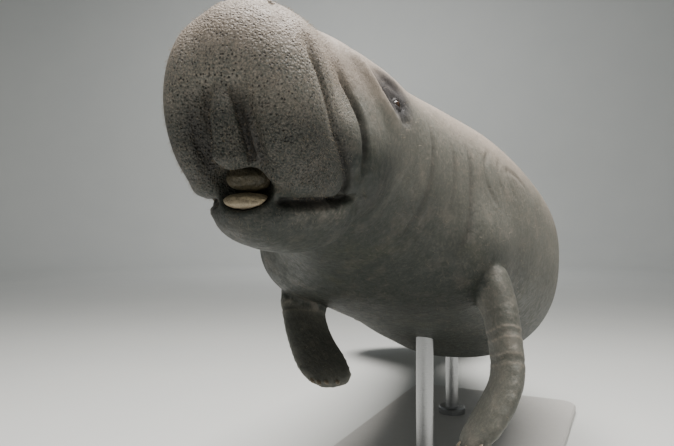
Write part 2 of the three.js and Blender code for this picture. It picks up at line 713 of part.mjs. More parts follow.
addPiece("stand_base", baseGeometry(), "standPaint");
for (const [name, s] of Object.entries(rodStations)) {
  const top = poseOf(0, s, 0);
  const foot = base.thickness + seam;
  const rod = new THREE.CylinderGeometry(rodRadius, rodRadius, top.z - foot, 32).rotateX(Math.PI / 2);
  rod.translate(top.x, top.y, (top.z + foot) / 2);
  const cut = solidOf(rod).subtract(grownTrunk);
  addPiece(`stand_rod_${name}`, geometryOf(cut), "standSteel");
  addPiece(`stand_collar_${name}`, collarGeometry().translate(top.x, top.y, foot), "standSteel");
}

// The origin lies under the middle of the whole, on the floor
const box = new THREE.Box3().setFromObject(manatee);
manatee.position.set(-(box.min.x + box.max.x) / 2, -(box.min.y + box.max.y) / 2, -box.min.z);

export default manatee;
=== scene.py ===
import math

import bpy
import numpy as np
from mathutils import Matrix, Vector


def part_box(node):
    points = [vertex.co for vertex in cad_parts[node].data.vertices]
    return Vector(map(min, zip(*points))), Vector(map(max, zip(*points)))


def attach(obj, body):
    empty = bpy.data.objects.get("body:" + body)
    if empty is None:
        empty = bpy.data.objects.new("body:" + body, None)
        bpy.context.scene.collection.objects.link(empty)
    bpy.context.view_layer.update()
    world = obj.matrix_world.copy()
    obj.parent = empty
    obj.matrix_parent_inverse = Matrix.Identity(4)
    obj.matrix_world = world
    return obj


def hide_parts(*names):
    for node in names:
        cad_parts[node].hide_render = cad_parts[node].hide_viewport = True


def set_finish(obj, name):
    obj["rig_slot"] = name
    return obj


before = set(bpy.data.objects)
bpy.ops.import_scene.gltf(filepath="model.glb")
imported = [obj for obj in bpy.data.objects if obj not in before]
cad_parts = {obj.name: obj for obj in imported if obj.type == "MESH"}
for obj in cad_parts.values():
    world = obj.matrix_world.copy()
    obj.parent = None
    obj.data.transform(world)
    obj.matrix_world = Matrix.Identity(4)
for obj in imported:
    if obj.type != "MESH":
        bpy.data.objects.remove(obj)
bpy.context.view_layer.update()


# The pose: x to the animal's left, s back from the snout and z up, all in millimetres

pose = {
    "trunkPitch": 15.2, "headLift": -8.1, "headTurn": -8.8, "tailTurn": 26, "tailDrop": 3,  # degrees
    "headLifts": (230, 730), "headTurns": (210, 870),  # where the head's angles ease into the trunk's
    "tailTurns": (1000, 1900), "tailDrops": (1800, 2500),
    "pivot": 1230, "height": 610, "step": 10, "stations": (-140, 190), "rodStation": 1010,
}


def ease(low, high, value):
    part = np.clip((value - low) / (high - low), 0, 1)
    return part * part * (3 - 2 * part)


def spineDirections(s):
    lift = pose["headLift"] * (1 - ease(*pose["headLifts"], s))
    lift = lift + pose["tailDrop"] * ease(*pose["tailDrops"], s)
    turn = pose["headTurn"] * (1 - ease(*pose["headTurns"], s))
    turn = turn - pose["tailTurn"] * ease(*pose["tailTurns"], s)
    pitch, yaw = np.radians(pose["trunkPitch"] + lift), np.radians(turn)
    back = np.stack([np.sin(yaw) * np.cos(pitch), np.cos(yaw) * np.cos(pitch), -np.sin(pitch)], axis=-1)
    left = np.stack([np.cos(yaw), -np.sin(yaw), np.zeros_like(yaw)], axis=-1)
    return back, left, np.cross(left, back)


spineStations = pose["pivot"] + pose["step"] * np.arange(*pose["stations"])
spineSteps = spineDirections(spineStations[:-1] + pose["step"] / 2)[0] * pose["step"]
spinePoints = np.vstack([np.zeros(3), np.cumsum(spineSteps, axis=0)])
spinePoints += (0, 0, pose["height"]) - spinePoints[-pose["stations"][0]]


def spineAt(s):
    return np.stack([np.interp(s, spineStations, spinePoints[:, k]) for k in range(3)], axis=-1)


collarLow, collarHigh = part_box("stand_collar_front")
shift = np.array([(collarLow[k] + collarHigh[k]) / 2 for k in range(2)] + [0.0])
shift[:2] -= spineAt(pose["rodStation"])[:2] / 1000


def toFrame(places):  # from the straight body to the frame, in metres
    places = np.asarray(places, float).reshape(-1, 3)
    back, left, up = spineDirections(places[:, 1])
    return (spineAt(places[:, 1]) + left * places[:, :1] + up * places[:, 2:]) / 1000 + shift


def toBody(points):  # and back again
    points = (np.asarray(points, float).reshape(-1, 3) - shift) * 1000
    s = pose["pivot"] + points[:, 1] - spineAt(pose["pivot"])[1]
    for turn in range(14):  # each round comes closer to the nearest station
        away = points - spineAt(s)
        s = np.clip(s + np.sum(away * spineDirections(s)[0], axis=1), spineStations[0], spineStations[-1])
    away = points - spineAt(s)
    back, left, up = spineDirections(s)
    return np.stack([np.sum(away * left, axis=1), s, np.sum(away * up, axis=1)], axis=-1)


# Camera, level and at the photograph's angle

camera = {"fromPivot": (0.486, -1.729, 0.082), "heading": 25.7, "focalPixels": 614, "imageWidth": 674,
          "sensor": 36}
cameraAt = Vector(toFrame([[0, pose["pivot"], 0]])[0]) + Vector(camera["fromPivot"])
bpy.ops.object.camera_add(location=cameraAt, rotation=(math.radians(90), 0, math.radians(camera["heading"])))
view = bpy.context.object
view.data.sensor_width = camera["sensor"]
view.data.lens = camera["sensor"] * camera["focalPixels"] / camera["imageWidth"]
bpy.context.scene.camera = view
print("camera at", [round(v, 3) for v in cameraAt])


# Small helpers for modelling

def selectOnly(*objects):
    if bpy.context.object and bpy.context.object.mode != "OBJECT":
        bpy.ops.object.mode_set(mode="OBJECT")
    bpy.ops.object.select_all(action="DESELECT")
    for item in objects:
        item.select_set(True)
    bpy.context.view_layer.objects.active = objects[0] if objects else None


def applyModifier(item, kind, **settings):
    selectOnly(item)
    modifier = item.modifiers.new(kind.lower(), kind)
    for key, value in settings.items():
        setattr(modifier, key, value)
    bpy.ops.object.modifier_apply(modifier=modifier.name)


def copyNodes(names, title):  # one merged copy of several CAD nodes
    copies = []
    for name in names:
        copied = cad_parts[name].copy()
        copied.data = copied.data.copy()
        copied.parent = None
        for key in list(copied.keys()):
            del copied[key]
        bpy.context.scene.collection.objects.link(copied)
        copies.append(copied)
    selectOnly(*copies)
    if len(copies) > 1:
        bpy.ops.object.join()
    piece = bpy.context.view_layer.objects.active
    piece.name = title
    piece.data.name = title
    piece.data.materials.clear()
    bpy.ops.object.mode_set(mode="EDIT")
    bpy.ops.mesh.select_all(action="SELECT")
    bpy.ops.mesh.remove_doubles(threshold=0.00002)  # corners that neighbours share
    bpy.ops.object.mode_set(mode="OBJECT")
    return piece


def pointsOf(item):
    points = np.empty(len(item.data.vertices) * 3)
    item.data.vertices.foreach_get("co", points)
    return points.reshape(-1, 3)


def normalsOf(item):
    normals = np.empty(len(item.data.vertices) * 3)
    item.data.vertices.foreach_get("normal", normals)
    return normals.reshape(-1, 3)


def setPoints(item, points):
    item.data.vertices.foreach_set("co", points.ravel())
    item.data.update()


def refine(item, wanted):  # halves the faces all of whose corners are wanted
    loops = np.empty(len(item.data.loops), int)
    item.data.loops.foreach_get("vertex_index", loops)
    starts = np.empty(len(item.data.polygons), int)
    item.data.polygons.foreach_get("loop_start", starts)
    chosen = np.minimum.reduceat(wanted[loops].astype(int), starts) > 0
    selectOnly(item)
    bpy.ops.object.mode_set(mode="EDIT")
    bpy.ops.mesh.select_mode(type="FACE")
    bpy.ops.mesh.select_all(action="DESELECT")
    bpy.ops.object.mode_set(mode="OBJECT")
    item.data.polygons.foreach_set("select", chosen)
    bpy.ops.object.mode_set(mode="EDIT")
    bpy.ops.mesh.subdivide(number_cuts=1)
    bpy.ops.object.mode_set(mode="OBJECT")


def setGroup(item, name, weights):  # a vertex group in steps of a tenth
    group = item.vertex_groups.get(name) or item.vertex_groups.new(name=name)
    levels = np.round(np.clip(weights, 0, 1) * 10).astype(int)
    for level in range(11):
        members = np.nonzero(levels == level)[0]
        if len(members):
            group.add(members.tolist(), level / 10, "REPLACE")


def smooth(item, rounds, group=""):
    applyModifier(item, "SMOOTH", factor=0.5, iterations=rounds, vertex_group=group)


def remesh(item, voxel):
    applyModifier(item, "REMESH", mode="VOXEL", voxel_size=voxel, adaptivity=0)


def setMark(item, name, values):  # a number at each point
    layer = item.data.attributes.new(name, "FLOAT", "POINT")
    layer.data.foreach_set("value", np.ascontiguousarray(values, np.float32))


def unit(rows):
    return rows / np.maximum(np.linalg.norm(rows, axis=1), 1e-6)[:, None]


def foldedOver(places):  # the right side's places moved to the left side
    return np.column_stack([np.abs(places[:, 0]), places[:, 1:]])


def finishPiece(piece, slotName, *replaced):
    selectOnly(piece)
    bpy.ops.object.shade_smooth()
    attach(piece, "root")
    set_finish(piece, slotName)
    if replaced:
        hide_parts(*replaced)
    print(piece.name, len(piece.data.vertices), "points")


# Flesh: the smooth body under the skin, as the CAD's solids have it

flesh = {
    "sections": (  # how far back, half width, height, depth, and how square the back and the underside are
        (175, 20, 20, 20, 2, 2), (270, 112, 92, 150, 2, 2), (370, 150, 136, 178, 2.05, 2.05),
        (490, 184, 156, 196, 2.1, 2.15), (630, 226, 184, 234, 2.15, 2.8), (800, 268, 216, 244, 2.2, 3),
        (1010, 292.6, 243.32, 255.64, 2.2, 2.7), (1230, 308, 255.64, 277.2, 2.2, 2.5),
        (1470, 298.76, 249.48, 283.36, 2.2, 2.4), (1710, 272, 222, 242, 2.15, 2.3),
        (1930, 220, 180, 190, 2.1, 2.15), (2110, 174, 136, 136, 2, 2), (2230, 150, 98, 96, 2, 2),
        (2330, 166, 68, 66, 2, 2), (2450, 230.4, 45, 43, 2, 2), (2580, 300.8, 32, 31, 2, 2),
        (2680, 320, 25, 24, 2, 2), (2780, 275.2, 18, 17, 2, 2), (2860, 160, 12, 11, 2, 2),
        (2900, 8, 7, 7, 2, 2),
    ),
    "forms": (  # middle, half sizes, forward tilt and how softly each joins the rest
        ((0, 315, 8), (138, 176, 122), 0, 60), ((0, 190, 34), (96, 140, 74), 0, 60),
        ((0, 84, 36), (73.26, 74, 62), 0, 40), ((0, 84, -22), (75.24, 66, 97.44), 26, 36),
        ((49.5, 92, -34), (52.47, 72, 106.72), 28, 20), ((0, 59, -64), (27, 40, 59), 34, 11),
        ((72, 220, -58), (60, 96, 80), 0, 44), ((0, 206, -136), (90, 110, 54), 0, 26),
        ((0, 131, -151), (52, 56, 33), 0, 26), ((178, 706, -128), (68, 112, 78), 0, 70),
    ),
    "folds": (  # places with the fold's strength there, its width, and its depth, below 0 for a ridge
        (((18, 4, -12, 0), (24, 12, -38, 0.9), (27, 30, -70, 1), (31, 52, -98, 1)), 10, 12),
        (((76, 46, 42, 0), (88, 56, 18, 0.7), (97, 74, -12, 1), (102, 101, -44, 1), (105, 134, -73, 1),
          (105, 160, -102, 1), (98, 168, -120, 0.7)), 12, 13),
        (((94, 130, 46, 0), (104, 154, 8, 0.9), (115, 165, -34, 1), (116, 172, -74, 1),
          (106, 194, -110, 0.5)), 9, 6),
        (((80, 160, 92, 0), (99, 182, 68, 0.8), (114, 202, 44, 1), (128, 226, 18, 1), (142, 256, 0, 0.9),
          (146, 296, -8, 0)), 13, -8),
        (((118, 236, 62, 0.7), (134, 262, 46, 0.9), (140, 300, 38, 1)), 24, 12),
        (((44, 92, -154, 0.6), (78, 122, -154, 1), (98, 160, -149, 1), (106, 190, -140, 0.3)), 14, 4),
        (((104, 196, -118, 0.6), (109, 212, -128, 1), (106, 230, -148, 0)), 11, 5),
        (((0, 272, -180, 1), (46, 276, -170, 1), (92, 292, -130, 0)), 17, 5),
    ),
    "formsEnd": 900,
    "fanMiddle": (96, -20), "axisEnd": 400,  # where the rays that lay a fold on the muzzle start
}


def sectionTable():  # the sections' values at every 5 mm, through a curve that never overshoots
    rows = np.array(flesh["sections"], float)
    at, values = rows[:, 0], rows[:, 1:]
    steps = np.diff(at)[:, None]
    rise = np.diff(values, axis=0) / steps
    slopes = np.zeros_like(values)
    before, after = rise[:-1], rise[1:]
    together = before + after
    same = before * after > 0
    slopes[1:-1] = np.where(same, 2 * before * after / np.where(same, together, 1), 0)
    s = np.arange(at[0], at[-1] + 1, 5)
    i = np.clip(np.searchsorted(at, s, side="right") - 1, 0, len(at) - 2)
    part = ((s - at[i]) / steps[i, 0])[:, None]
    level = (1 + 2 * part) * (1 - part) ** 2 * values[i] + part ** 2 * (3 - 2 * part) * values[i + 1]
    bend = part * (1 - part) ** 2 * slopes[i] - part ** 2 * (1 - part) * slopes[i + 1]
    return s, level + bend * steps[i]


sectionPlaces, sectionValues = sectionTable()


def lineDistance(places, line):  # how far each place is from a bent line, and its strength there
    line = np.array(line, float)
    best, strength = np.full(len(places), np.inf), np.zeros(len(places))
    for first, last in zip(line[:-1], line[1:]):
        along = last[:3] - first[:3]
        part = np.clip((places - first[:3]) @ along / max(along @ along, 1e-9), 0, 1)
        away = np.linalg.norm(places - first[:3] - part[:, None] * along, axis=1)
        nearer = away < best
        best[nearer] = away[nearer]
        if line.shape[1] > 3:
            strength[nearer] = (first[3] + (last[3] - first[3]) * part)[nearer]
    return best, strength if line.shape[1] > 3 else np.ones(len(places))


def aroundLine(places, line, far):  # the places inside the line's box, grown
    line = np.array(line, float)[:, :3]
    inside = (places > line.min(axis=0) - far) & (places < line.max(axis=0) + far)
    return np.nonzero(inside.all(axis=1))[0]


def ellipsoidDistance(places, middle, sizes, tiltDegrees):
    tilt = math.radians(tiltDegrees)
    away = places - middle
    turned = np.stack([away[:, 0], away[:, 1] * math.cos(tilt) + away[:, 2] * math.sin(tilt),
                       away[:, 2] * math.cos(tilt) - away[:, 1] * math.sin(tilt)], axis=1)
    scaled = turned / sizes
    near = np.linalg.norm(scaled, axis=1)
    slope = np.linalg.norm(scaled / sizes, axis=1)
    return near * (near - 1) / np.maximum(slope, 1e-9)


def softJoin(first, second, blend):
    lap = np.clip(blend - np.abs(first - second), 0, None) / blend
    return np.minimum(first, second) - lap ** 2 * blend / 4


def plainDistance(places):  # the flesh before its folds: below 0 inside the body, in millimetres
    x, s, z = places.T
    side, above, below, back, under = (np.interp(s, sectionPlaces, sectionValues[:, k]) for k in range(5))
    height = np.where(z > 0, above, below)
    power = np.where(z > 0, back, under)
    ring = (np.abs(x / side) ** power + np.abs(z / height) ** power) ** (1 / power)
    distance = (ring - 1) * np.minimum(side, height)
    distance = np.maximum(distance, np.maximum(sectionPlaces[0] - s, s - sectionPlaces[-1]))
    front = np.nonzero(s < flesh["formsEnd"])[0]
    if len(front):
        near, d = places[front], distance[front]
        for middle, sizes, tilt, blend in flesh["forms"]:
            d = softJoin(d, ellipsoidDistance(near, middle, sizes, tilt), blend)
            if middle[0]:  # its twin on the other side
                d = softJoin(d, ellipsoidDistance(near * (-1, 1, 1), middle, sizes, tilt), blend)
        distance[front] = d
    return distance


def reach(origins, rays, distance, far=420, steps=48):  # how far along each ray the outermost surface lies
    parts = far * np.arange(steps, -1, -1) / steps
    spots = origins[:, None] + rays[:, None] * parts[None, :, None]
    inside = distance(spots.reshape(-1, 3)).reshape(len(origins), -1) < 0
    first = np.where(inside.any(axis=1), inside.argmax(axis=1), steps)
    inner, outer = parts[first], parts[np.maximum(first - 1, 0)]
    for turn in range(22):
        middle = (inner + outer) / 2
        hit = distance(origins + rays * middle[:, None]) < 0
        inner, outer = np.where(hit, middle, inner), np.where(hit, outer, middle)
    return (inner + outer) / 2


def laidOn(line, distance, sideways=False):  # a line's places moved along their rays onto a surface
    line = np.array(line, float)
    middles = np.zeros((len(line), 3))
    middles[:, 1] = np.maximum(line[:, 1], flesh["fanMiddle"][0])
    middles[:, 2] = flesh["fanMiddle"][1] * (1 - ease(flesh["fanMiddle"][0], flesh["axisEnd"], middles[:, 1]))
    if sideways:
        middles[:, 1:] = line[:, 1:3]
    rays = unit(line[:, :3] - middles)
    line[:, :3] = middles + rays * reach(middles, rays, distance)[:, None]
    return line


foldLines = [(laidOn(line, plainDistance), width, depth) for line, width, depth in flesh["folds"]]


def fleshFolds(places):  # how deep the folds lie at each place
    sink = np.zeros(len(places))
    for way in (1, -1):
        turned = places * (way, 1, 1)
        for line, width, depth in foldLines:
            near = aroundLine(turned, line, 4 * width)  # farther off it moves nothing
            away, strength = lineDistance(turned[near], line)
            sink[near] += depth * strength * np.exp(-(away / width) ** 2)
    return sink


def fleshDistance(places):
    return plainDistance(places) + fleshFolds(places)


def ontoFlesh(places, distance, rounds=3, step=0.5, most=8):  # places moved onto the surface
    places = places.copy()
    for turn in range(rounds):
        level = distance(places)
        slope = np.stack([distance(places + np.eye(3)[k] * step) - level for k in range(3)], axis=1) / step
        size = np.maximum(np.sum(slope ** 2, axis=1), 1e-4)
        move = -slope * (level / size)[:, None]
        length = np.linalg.norm(move, axis=1)
        places += move * np.minimum(1, most / np.maximum(length, 1e-9))[:, None]
    return places


# Skin: one surface over every node of flesh

skinForm = {
    "voxel": 0.011, "trunkKept": 0.68, "thinned": (880, 2200), "headEnd": 430, "muzzleEnd": 215,
    "smoothing": (2, 2, 1), "flippersFrom": 500, "tailFrom": 2200, "tailMiddle": 2640,
}
fleshNodes = [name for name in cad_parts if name.split("_")[0] in
              ("snout", "head", "lower", "neck", "chest", "belly", "loin", "tail", "flipper")]


def curveThrough(line, step=4):  # a smooth curve through a line of places
    line = np.array(line, float)
    padded = np.vstack([2 * line[0] - line[1], line, 2 * line[-1] - line[-2]])
    runs = []
    for k in range(len(line) - 1):
        a, b, c, d = padded[k:k + 4]
        count = max(2, int(np.linalg.norm((c - b)[:3]) / step))
        t = np.arange(count)[:, None] / count
        runs.append(b + 0.5 * t * (c - a + t * (2 * a - 5 * b + 4 * c - d + t * (3 * (b - c) + d - a))))
    return np.vstack(runs + [line[-1:]])


pressing = {"rollAt": 2.1, "creaseWidth": 1.1, "fullCrease": 6, "reach": 5}  # in widths, but 6 mm of depth gives a crease its full painted shade


def fold(places, width, depth, roll=0, fade=0.3, sideways=False, one=False):
    line = laidOn(curveThrough(places), fleshDistance, sideways)  # a curve on the flesh, and its twin
    if line.shape[1] == 3:  # it fades at its ends
        part = np.linspace(0, 1, len(line))
        line = np.column_stack([line, ease(0, fade, part) * ease(1, 1 - fade, part)])
    twins = [line] if one else [line, line * (-1, 1, 1, 1)]
    return [(twin, width, depth, roll) for twin in twins]


def press(item, folds):  # folds pressed into a surface, each with a soft roll on both sides; it returns the painted shade of the creases
    points, normals = pointsOf(item), normalsOf(item)
    places = toBody(points)
    sink, crease = np.zeros(len(points)), np.zeros(len(points))
    for line, width, depth, roll in folds:
        near = aroundLine(places, line, pressing["reach"] * width)
        away, strength = lineDistance(places[near], line)
        away /= width
        rise = roll * np.exp(-(away - pressing["rollAt"]) ** 2)
        sink[near] += strength * (rise - depth * np.exp(-away ** 2))
        # painted shade along each crease
        if depth > 0:
            dark = np.exp(-(away / pressing["creaseWidth"]) ** 2) * strength
            crease[near] = np.maximum(crease[near], dark * min(1, depth / pressing["fullCrease"]))
    setPoints(item, points + normals * sink[:, None] / 1000)
    return crease


mouth = {
    "line": [(40, 88, -140), (60, 104, -138), (80, 124, -135), (94, 146, -131), (103, 172, -124),
             (108, 200, -116)],
    "hollow": ((0, 76, -124), (37, 36, 27), 24), "hollowEdge": 5,  # its open front
    "fineLine": 13, "fineHollow": 9, "fineEnd": 110,
}
mouthCurve = laidOn(curveThrough(mouth["line"]), fleshDistance, sideways=True)
eyes = {
    "radius": 0.010, "station": 300, "opening": (8.5, 5.6), "backward": (0, 10, -1.5),
    "fineReach": 0.034, "ring": (0.014, 0.030), "reach": 0.045,
    "lidThickness": 1.5, "lidBlend": 5.0, "lidEdge": 1.12,
    "wrinkles": 17, "wrinkleDepth": 0.9, "upperFold": (1.3, 1.75, 0.16), "lowerFold": (0.9, 1.95, 0.2),
    "sunk": 3.5, "cornea": 0.0006,
}
nostrils = {"at": (27, 42, 78), "reach": 24, "radius": 13, "squash": 0.75, "sweep": 100}
eyeMiddles = {side: sum(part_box("eye_" + side), Vector()) / 2 for side in ("left", "right")}


def nearEyes(points):
    away = [np.linalg.norm(points - np.array(middle), axis=1) for middle in eyeMiddles.values()]
    return np.min(away, axis=0) < eyes["fineReach"]


def fineParts(places, points):  # where the smallest forms of the head are
    folded = foldedOver(places)
    mouthNear = lineDistance(folded, mouthCurve)[0] < mouth["fineLine"]
    hollowNear = np.abs(ellipsoidDistance(places, *mouth["hollow"])) < mouth["fineHollow"]
    noseNear = np.linalg.norm(folded - nostrils["at"], axis=1) < nostrils["reach"]
    return mouthNear | (hollowNear & (places[:, 1] < mouth["fineEnd"])) | noseNear | nearEyes(points)


def flipperShare(places):  # 1 on the flippers, which stand out of the smooth body
    return ease(2, 12, fleshDistance(places))


creasedBoxes = {  # the least and the most of x, s and z, for both sides
    "shoulder": ((170, 600, -70), (math.inf, 860, 120)),
    "neck": ((-1, -math.inf, -180), (math.inf, 620, 110)),
    "arm": ((-1, 600, -390), (math.inf, 800, -210)),
}


def creasedParts(places):  # where the body's smaller folds lie
    folded = foldedOver(places)
    shoulder, neck, arm = (np.all((folded > low) & (folded < high), axis=1)
                           for low, high in creasedBoxes.values())
    return shoulder | neck | (arm & (flipperShare(places) > 0.5))


def headDistance(places):  # the flesh with the open front of the mouth cut out
    return -softJoin(-fleshDistance(places), ellipsoidDistance(places, *mouth["hollow"]), mouth["hollowEdge"])


def ontoTail(places):  # places moved out from the tail's middle line onto its surface
    middles = np.zeros_like(places)
    middles[:, 1] = np.minimum(places[:, 1], skinForm["tailMiddle"])
    rays = unit(places - middles)
    return middles + rays * reach(middles, rays, plainDistance)[:, None]


fitting = {  # how far off the flesh a point may be to be moved wholly or in part
    "above": (16, 3), "below": (-14, -5), "belowInHead": (-60, -40), "headEnd": 230,
}


def fitToFlesh(item, far=math.inf):  # trunk and head laid on the smooth body, the flippers left alone
    points = pointsOf(item)
    places = toBody(points)
    chosen = np.nonzero(places[:, 1] < far)[0]
    near = places[chosen]
    away = fleshDistance(near)
    share = ease(*fitting["above"], away) * np.where(
        near[:, 1] < fitting["headEnd"], ease(*fitting["belowInHead"], away), ease(*fitting["below"], away))
    laid = ontoFlesh(near, headDistance)
    tail = near[:, 1] > skinForm["tailFrom"]
    if tail.any():
        laid[tail] = ontoTail(near[tail])
    points[chosen] += (toFrame(laid) - points[chosen]) * share[:, None]
    setPoints(item, points)


skin = copyNodes(fleshNodes, "skin")
remesh(skin, skinForm["voxel"])
print("skin remeshed", len(skin.data.polygons), "faces")
fitToFlesh(skin)
places = toBody(pointsOf(skin))
setGroup(skin, "flippers", flipperShare(places) * (places[:, 1] > skinForm["flippersFrom"]))
smooth(skin, 5, "flippers")
setGroup(skin, "tail", ease(0, 60, places[:, 1] - skinForm["tailFrom"]))
smooth(skin, 8, "tail")
fitToFlesh(skin)
smooth(skin, 2, "tail")
front, back = (places[:, 1] - end for end in skinForm["thinned"])
setGroup(skin, "plain", ease(-20, 40, front) * ease(40, -20, back))
applyModifier(skin, "DECIMATE", decimate_type="COLLAPSE", ratio=skinForm["trunkKept"], vertex_group="plain",
              vertex_group_factor=10, use_collapse_triangulate=True)
print("skin thinned", len(skin.data.polygons), "faces")

for step in range(3):
    points = pointsOf(skin)
    places = toBody(points)
    if step == 0:
        refine(skin, (places[:, 1] < skinForm["headEnd"]) | creasedParts(places))
    elif step == 1:
        refine(skin, places[:, 1] < skinForm["muzzleEnd"])
    else:
        refine(skin, fineParts(places, points))
    places = toBody(pointsOf(skin))
    setGroup(skin, "head", ease(skinForm["headEnd"] - 10, skinForm["headEnd"] - 50, places[:, 1]))
    smooth(skin, 4, "head")
    fitToFlesh(skin, skinForm["headEnd"] + 20)
    smooth(skin, skinForm["smoothing"][step], "head")
    print("skin faces", len(skin.data.polygons))

noseTurns = np.radians(np.linspace(-nostrils["sweep"], nostrils["sweep"], 9))
noseDepth = nostrils["squash"] * nostrils["radius"] * np.cos(noseTurns)
noseArc = np.array(nostrils["at"]) + np.stack(
    [nostrils["radius"] * np.sin(noseTurns), 0.78 * noseDepth, 0.62 * noseDepth], axis=1)
lipLine = mouth["line"]
headFolds = [  # each with its places, width, depth and roll
    fold(lipLine, 4.2, 11, sideways=True, fade=0.12),  # the mouth
    fold([(x, s, z - 12) for x, s, z in lipLine], 6.5, -3, sideways=True),
    fold([(30, 48, -88), (40, 62, -106), (52, 84, -117), (70, 106, -114), (84, 122, -104),
          (90, 124, -90)], 12, -4.5),  # the swollen rim of the upper lip
    fold([(9, 6, -16, 0), (14, 12, -34, 0.7), (18, 22, -54, 1), (21, 34, -76, 1), (22, 50, -100, 0.9)],
         4.5, 6, 1.2, one=True),  # both sides of the middle lobe
    fold([(-20, 6, -16, 0), (-25, 12, -34, 0.8), (-27, 22, -54, 1), (-27, 34, -76, 1),
          (-25, 50, -100, 0.9)], 5.5, 7, 1.2, one=True),
    fold([(-36, 8, -14, 0), (-38, 16, -40, 0.6), (-41, 30, -68, 1), (-40, 48, -96, 1),
          (-36, 64, -112, 0.8)], 14, 9, one=True),  # the valley beside it
    fold([(24, 12, -38, 0.4), (27, 30, -70, 1), (31, 52, -98, 1)], 10, -4.5, one=True),
    fold([(-5, 4, -22, 0), (-5, 12, -44, 1), (-4, 24, -68, 1), (-2, 38, -88, 1)], 12, -3.5, one=True),
    fold([(-11, 42, -92, 1), (-1, 40, -96, 1), (10, 42, -92, 1)], 11, -6, one=True),
    fold([(84, 50, 28, 0), (91, 61, 8, 0.7), (97, 74, -12, 1), (102, 101, -44, 1), (105, 134, -73, 1),
          (105, 160, -102, 1), (98, 170, -120, 1), (84, 164, -129, 0.5)], 4.5, 6, 2.2),  # behind the lip pad
    fold([(90, 134, 40), (100, 152, 12), (112, 164, -14), (119, 170, -42), (118, 175, -70),
          (107, 186, -96)], 4.2, 7, 1.8),
    fold([(84, 190, 90), (103, 212, 74), (118, 232, 56), (131, 254, 34), (142, 282, 14)],
         8, 5, 1.5),  # under the brow
    fold([(90, 172, 80), (106, 190, 56), (121, 212, 30), (135, 240, 8), (145, 276, -4)], 9, -3),
    fold([(116, 250, 84), (128, 276, 72), (134, 306, 66), (134, 336, 62)],
         9, 3, 0.8),  # above and below the eye
    fold([(146, 282, 10), (150, 306, 12), (150, 330, 20)], 8, 3, 0.8),
    fold(noseArc, 2.4, 6, 1.6, fade=0.15),  # the closed nostrils
    fold([(104, 200, -112), (112, 214, -118), (117, 232, -132)], 3.5, 3, 0.8),  # at the corner of the mouth
    fold([(104, 206, -120), (108, 220, -134), (106, 236, -150)], 3.5, 2.5, 0.8),
]
bodyFolds = [
    fold([(221, 700, 93), (217, 645, 50), (226, 640, 8), (240, 673, -20), (253, 718, -38)],
         6, 2, 0.6),  # the shoulder
    fold([(228, 735, 88), (230, 700, 52), (240, 700, 20), (252, 736, -8)], 5, 1.6, 0.5),
    fold([(238, 770, 84), (244, 748, 56), (252, 756, 28), (262, 790, 6)], 5, 1.3, 0.4),
    fold([(241, 711, 54), (255, 780, 70), (268, 850, 66), (276, 889, 45)], 6, 1.8, 0.5),
    fold([(150, 420, 70), (164, 432, 0), (168, 436, -50), (150, 440, -110), (100, 446, -160)],
         8, 3.2, 1),  # the neck
    fold([(190, 560, 80), (207, 574, 20), (214, 582, -50), (205, 578, -110), (165, 556, -165)], 9, 3.4, 1),
    fold([(176, 500, 50), (186, 512, 0), (186, 520, -50), (172, 520, -96)], 6, 2, 0.7),
]
creaseShadeAndLipLight = press(skin, sum(headFolds + bodyFolds, []))


armRings = {
    "width": 4, "wave": (3, 0.06), "roll": 0.25, "reach": (82, 68), "paintedCreaseShade": 0.2,
    "rings": (  # middle, direction down the arm and depth
        ((268, 694, -276), (0.12, -0.1, -1), 1.4), ((276, 688, -322), (0, -0.12, -1), 1.2),
        ((262, 698, -240), (0.2, -0.1, -1), 0.7), ((-170, 728, -250), (0.3, -0.2, -1), 1),
    ),
}


def pressRings(item):  # creases across an arm, each with a raised lip on both sides
    points, normals = pointsOf(item), normalsOf(item)
    places = toBody(points)
    sink = np.zeros(len(points))
    for middle, way, depth in armRings["rings"]:
        way = np.array(way, float) / np.linalg.norm(way)
        away = places - np.array(middle, float)
        along = away @ way
        aside = np.linalg.norm(away - along[:, None] * way, axis=1)
        wave = armRings["wave"][0] * np.sin(armRings["wave"][1] * away[:, 1])
        along = np.abs(along + wave) / armRings["width"]
        lips = armRings["roll"] * depth * np.exp(-(along - pressing["rollAt"]) ** 2)
        sink += ease(*armRings["reach"], aside) * (along < 4) * (lips - depth * np.exp(-along ** 2))
    setPoints(item, points + normals * sink[:, None] / 1000)
    return sink


ringSink = pressRings(skin)
creaseShadeAndLipLight = np.where(ringSink > 0, -ringSink,  # painted shade in the ring creases, below 0 for a painted highlight on a raised lip
                   np.maximum(creaseShadeAndLipLight, -ringSink * armRings["paintedCreaseShade"]))
print("folds pressed")


